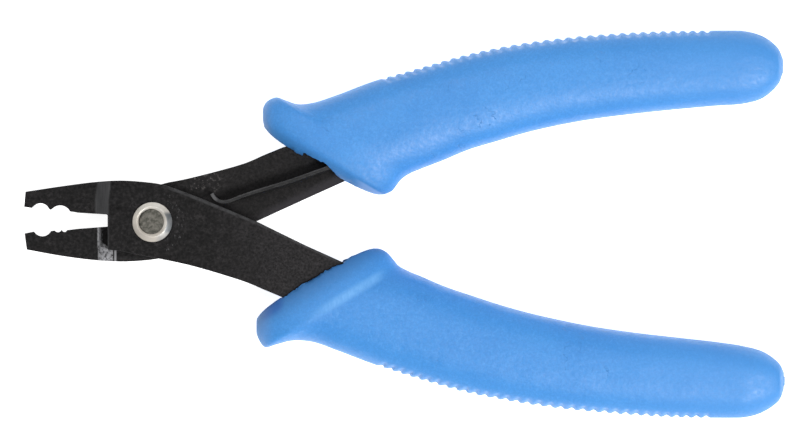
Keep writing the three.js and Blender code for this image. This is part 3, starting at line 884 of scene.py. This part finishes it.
def centripetal(points, t):
    """Centripetal Catmull-Rom curve through points at t from 0 to 1."""
    last = len(points) - 1
    place = clamp(t) * last
    i = min(int(place), last - 1)
    w = place - i
    p1, p2 = Vector(points[i]), Vector(points[i + 1])
    p0 = Vector(points[i - 1]) if i > 0 else 2 * p1 - p2
    p3 = Vector(points[i + 2]) if i + 2 <= last else 2 * p2 - p1
    d0, d1, d2 = (max((b - a).length ** 0.5, 1e-4) for a, b in ((p0, p1), (p1, p2), (p2, p3)))
    t1 = ((p1 - p0) / d0 - (p2 - p0) / (d0 + d1) + (p2 - p1) / d1) * d1
    t2 = ((p2 - p1) / d1 - (p3 - p1) / (d1 + d2) + (p3 - p2) / d2) * d1
    return p1 + t1 * w + (3 * (p2 - p1) - 2 * t1 - t2) * w * w + (2 * (p1 - p2) + t1 + t2) * w ** 3


def grip_rows(outer, stations, teeth_x):
    """Places along the grip, close together where the teeth are."""
    rows = [0.0]
    for i in range(stations - 1):
        start, end = centripetal(outer, i / (stations - 1)), centripetal(outer, (i + 1) / (stations - 1))
        toothed = end.x > teeth_x[0] and start.x < teeth_x[1]
        count = math.ceil((end - start).length / (TOOTHED_STEP if toothed else PLAIN_STEP))
        rows += [(i + k / count) / (stations - 1) for k in range(1, count + 1)]
    return rows


def tooth(run, total):
    """Depth of the scalloped edge at a distance run along the toothed stretch. The teeth widen mid way."""
    if not 0 < run < total:
        return 0.0
    u = run / total
    count = TEETH * u + 0.42 * math.sin(2 * math.pi * u) + 0.3 * math.sin(math.pi * u)
    return TOOTH_DEPTH * (0.5 - 0.5 * math.cos(2 * math.pi * count)) ** 1.4


def toothed_runs(edge, teeth_x):
    """How far each point of the edge is past the first tooth, and how long the toothed part is."""
    runs = [0.0]
    for a, b in zip(edge, edge[1:]):
        runs.append(runs[-1] + (b - a).length)
    first = next(run for run, point in zip(runs, edge) if point.x > teeth_x[0])
    last = next(run for run, point in zip(runs, edge) if point.x > teeth_x[1])
    return [run - first for run in runs], last - first


def section(middle, chord, half, power, behind, bow, notch, side, seed):
    """Points of one section: a superellipse with the tooth's notch, the bowed mouth and its ragged lip."""
    forward = Vector((-chord.y, chord.x)).normalized()
    made = []
    for k in range(AROUND):
        c, s = math.cos(2 * math.pi * k / AROUND), math.sin(2 * math.pi * k / AROUND)
        across = math.copysign(abs(c) ** (2 / power), c)
        up = math.copysign(abs(s) ** (2 / power), s)
        inward = notch * smoothstep(across * side, *TOOTH_BITE)
        flat = middle + chord * (across - side * inward) + forward * bow * (1 - abs(across) ** BOW_POWER)
        ragged = noise.noise(Vector((across * 9, seed, up * 2))) + noise.noise(Vector((across * 23, seed, 0)))
        ragged += 0.6 * noise.noise(Vector((across * 41, seed, 0)))
        flat += forward * RAGGED * ragged * clamp(1 - behind / 0.8) * smoothstep(-abs(across), -0.72, -0.5)
        z = max(half * up, REST_Z)
        wave = noise.noise(Vector((flat.x * 0.16 + seed, flat.y * 0.16, z * 0.2)))
        made.append((flat.x, flat.y, z + WAVE * (wave - 0.5) * smoothstep(z, 1.5, 4.0)))
    return made


def gate_rings(bm, ring, gate, seed):
    """Rings of the rough stub, gate tall, that is left where the plastic was fed in."""
    centre = sum((vert.co for vert in ring), Vector()) / AROUND
    made = []
    for step in (0.0, 0.25 * gate, gate):
        rough = [0.2 * step * noise.noise(Vector((k * 0.4, seed, step * 9))) for k in range(AROUND)]
        stub = [centre + (vert.co - centre) * GATE_SHARE for vert in ring]
        made.append([bm.verts.new(co + Vector((step + push, 0, 0))) for co, push in zip(stub, rough)])
    return made


def skin(bm, rings):
    """Faces between the rings, and one over each end."""
    for a, b in zip(rings, rings[1:]):
        for k in range(AROUND):
            n = (k + 1) % AROUND
            bm.faces.new((a[k], a[n], b[n], b[k]))
    bm.faces.new(rings[0])
    bm.faces.new(rings[-1])
    bmesh.ops.recalc_face_normals(bm, faces=bm.faces)


def grip_bmesh(stations, side, lip_half, mouth_depth, mouth_power, teeth_x, gate, seed):
    """The moulded grip: a loft of chords, toothed on its outer side, that swells from a thin soft lip."""
    upper = [(a, b) for a, b, _, _ in stations]
    lower = [(c, d) for _, _, c, d in stations]
    outer = upper if side > 0 else lower
    last = len(stations) - 1
    halves = [(GRIP_HALF, 0)] * (last + 1 - len(END_HALVES)) + [(half, 0) for half in END_HALVES]
    rows = grip_rows(outer, last + 1, teeth_x)
    runs, toothed = toothed_runs([centripetal(outer, t) for t in rows], teeth_x)
    mouth = (centripetal(upper, 0) + centripetal(lower, 0)) / 2
    bm = bmesh.new()
    rings = []
    for t, run in zip(rows, runs):
        a, b = centripetal(upper, t), centripetal(lower, t)
        middle = (a + b) / 2
        chord = (a - b) / 2
        chord *= 1 + PLAN_GROWTH / chord.length
        bow = LIP_BOW * max(0.0, 1 - t * last / 2)
        behind = (middle - mouth).length + LIP_BOW - bow
        rise = (1 - (1 - clamp(behind / mouth_depth)) ** MOUTH_ROUND) ** (1 / MOUTH_ROUND)
        crown = min(centripetal(halves, t).x, GRIP_HALF)
        half = lip_half + (crown - lip_half) * rise
        power = mouth_power + (CROWN_POWER - mouth_power) * smoothstep(behind, 3.0, 14.0)
        notch = tooth(run, toothed) / max(chord.length, 1e-3)
        points = section(middle, chord, half, power, behind, bow, notch, side, seed)
        rings.append([bm.verts.new(point) for point in points])
    rings += gate_rings(bm, rings[-1], gate, seed)
    skin(bm, rings)
    return bm


def tang_socket(side, low, high):
    """Room for a tang inside its grip."""
    x, y, half = TANG[0]
    points = outline(bar([(x - 12, y - 5.1, half + 0.3)] + TANG, SOCKET_GAP))
    return slab([points if side > 0 else mirror(points)], low - SOCKET_GAP, high + SOCKET_GAP, 0.2)


def pocket():
    """Room inside the rear grip where the leaf runs to its anchor."""
    x, y = ANCHOR.x, ANCHOR.y
    wedge = [(x - 10, y - 5.9), (x + 0.8, y - 2.2), (x, y + 0.3), (x - 10, y - 3.5)]
    return slab([wedge], POCKET_FLOOR, ARM_FACE + SOCKET_GAP, 0.1)


def ragged_line(a, b, steps, depth):
    """Points from a to b that stray to either side of the line by up to depth."""
    a, b = Vector(a), Vector(b)
    across = Vector((a.y - b.y, b.x - a.x)).normalized()
    made = []
    for k in range(steps + 1):
        place = a.lerp(b, k / steps)
        place += across * depth * noise.noise(Vector((place.x * 2.1, place.y * 2.1, 0)))
        made.append((place.x, place.y))
    return made


def slot_relief():
    """The lip is trimmed back, roughly, where the spring goes into the grip."""
    upper = ragged_line((25.8, 11.85), (29.8, 9.8), 12, 0.25)
    lower = ragged_line((30.0, 9.6), (31.6, 7.9), 6, 0.2)
    return slab([[(25.4, 10.6)] + upper + lower + [(30.8, 7.0)]], POCKET_FLOOR, GRIP_HALF + 1, 0.05)


def eye_room():
    """Room inside the rear grip for the leaf's eye."""
    return slab([circle(ANCHOR.x, ANCHOR.y, EYE_ROOM_R)], POCKET_FLOOR, ARM_FACE + SOCKET_GAP, 0.1)


def cut(bm, cutters):
    """Subtracts closed bmeshes from a closed bmesh, all at once, and gives the result as a new bmesh."""
    holders = []
    for source in [bm, *cutters]:
        bmesh.ops.recalc_face_normals(source, faces=source.faces)
        mesh = bpy.data.meshes.new("cut")
        source.to_mesh(mesh)
        source.free()
        holders.append(bpy.data.objects.new("cut", mesh))
    bpy.context.scene.collection.objects.link(holders[0])
    tools = bpy.data.collections.new("tools")
    bpy.context.scene.collection.children.link(tools)
    for tool in holders[1:]:
        tools.objects.link(tool)
    modifier = holders[0].modifiers.new("cut", "BOOLEAN")
    modifier.operation = "DIFFERENCE"
    modifier.solver = "EXACT"
    modifier.operand_type = "COLLECTION"
    modifier.collection = tools
    bpy.context.view_layer.update()
    depsgraph = bpy.context.evaluated_depsgraph_get()
    mesh = bpy.data.meshes.new_from_object(holders[0].evaluated_get(depsgraph))
    made = bmesh.new()
    made.from_mesh(mesh)
    for holder in holders:
        bpy.data.objects.remove(holder)
    bpy.data.collections.remove(tools)
    bpy.data.meshes.remove(mesh)
    return made


def rear_grip():
    cutters = [tang_socket(1, -ARM_FACE, -FACE_GAP), pocket(), slot_relief(), eye_room()]
    bm = cut(grip_bmesh(**REAR_SLEEVE), cutters)
    plastic = blue_plastic("blue_plastic_rear", REAR_BLUE, (4, 2, 0), REAR_LIP, REAR_MOUTH_SHADE)
    finish_mesh("grip_rear", bm, "rear_half", "rear_grip", plastic, sharp=50)


def front_grip():
    bm = cut(grip_bmesh(**FRONT_SLEEVE), [tang_socket(-1, FACE_GAP, ARM_FACE)])
    plastic = blue_plastic("blue_plastic_front", FRONT_BLUE, (11, 7, 0), FRONT_LIP, FRONT_MOUTH_SHADE, FRONT_CREST)
    finish_mesh("grip_front", bm, "front_half", "front_grip", plastic, sharp=50)


# ------------------------------------------------------------------------------ studio

FILL = 0.14               # light from the room all round
BACKDROP = 0.95           # how pale the room looks behind the floor
VIEW_WIDTH = 0.1368       # what the picture spans, side to side, at the joint plane
CAMERA_HEIGHT = 2.5       # above the joint plane
AIM = (42.3, 0.36)        # where the camera points, in the pivot's frame
LIT_POINT = (0, 0, 0.005)  # where the lights point
FLOOR_REACH = 1.5
LIGHTS = [                # name, place, size and power
    ("key", (0.32, -0.25, 0.64), (0.32, 0.26), 4.6),
    ("crest", (-0.15, 0.25, 0.65), (0.30, 0.30), 0.8),
    ("tent_left", (-0.62, 0.12, 0.48), (0.5, 0.7), 0.8),
    ("tent_back", (0.0, 0.80, 0.35), (1.2, 0.5), 1.2),
    ("tent_front", (0.0, -0.80, 0.35), (1.2, 0.5), 0.9),
]


def camera():
    data = bpy.data.cameras.new("camera")
    data.sensor_width = 36.0
    data.lens = data.sensor_width * CAMERA_HEIGHT / VIEW_WIDTH
    made = bpy.data.objects.new("camera", data)
    made.location = PIVOT + Vector((AIM[0] * MM, AIM[1] * MM, CAMERA_HEIGHT))
    bpy.context.scene.collection.objects.link(made)
    bpy.context.scene.camera = made


def area_light(name, place, size, power):
    data = bpy.data.lights.new(name, "AREA")
    data.shape = "RECTANGLE"
    data.size, data.size_y = size
    data.energy = power
    light = bpy.data.objects.new(name, data)
    light.location = place
    light.rotation_euler = (Vector(LIT_POINT) - Vector(place)).to_track_quat("-Z", "Y").to_euler()
    bpy.context.scene.collection.objects.link(light)


def room():
    """A dim room that lights from all round, but looks pale where the camera sees it."""
    world = bpy.data.worlds.new("world")
    bpy.context.scene.world = world
    world.use_nodes = True
    background = world.node_tree.nodes["Background"]
    background.inputs["Color"].default_value = (1, 1, 1, 1)
    seen = world.node_tree.nodes.new("ShaderNodeLightPath").outputs["Is Camera Ray"]
    strength = world.node_tree.nodes.new("ShaderNodeMath")
    strength.operation = "MULTIPLY_ADD"
    strength.inputs[1].default_value = BACKDROP - FILL
    strength.inputs[2].default_value = FILL
    world.node_tree.links.new(seen, strength.inputs[0])
    world.node_tree.links.new(strength.outputs[0], background.inputs["Strength"])


def pale_paper():
    s = Shader("paper")
    fibre = s.noise(0.8, 3.0)
    return s.surface(
        Base_Color=s.mix(s.ramp(fibre, 0.3, 0.7), *PAPER),
        Roughness=0.9,
        Specular_IOR_Level=0.2,
        Emission_Color=(1, 1, 1, 1),
        Emission_Strength=0.85,
    )


def paper_floor():
    mesh = bpy.data.meshes.new("floor")
    corners = [(-FLOOR_REACH, -FLOOR_REACH, 0), (FLOOR_REACH, -FLOOR_REACH, 0),
               (FLOOR_REACH, FLOOR_REACH, 0), (-FLOOR_REACH, FLOOR_REACH, 0)]
    mesh.from_pydata(corners, [], [(0, 1, 2, 3)])
    mesh.materials.append(pale_paper())
    floor = bpy.data.objects.new("floor", mesh)
    bpy.context.scene.collection.objects.link(floor)


def studio():
    room()
    for light in LIGHTS:
        area_light(*light)
    paper_floor()
    bpy.context.scene.view_settings.view_transform = "Standard"


camera()
studio()
front_arm()
rear_arm()
pin_metal = dull_pin()
rivet(pin_metal)
spring()
anchor_pin(pin_metal)
rear_grip()
front_grip()
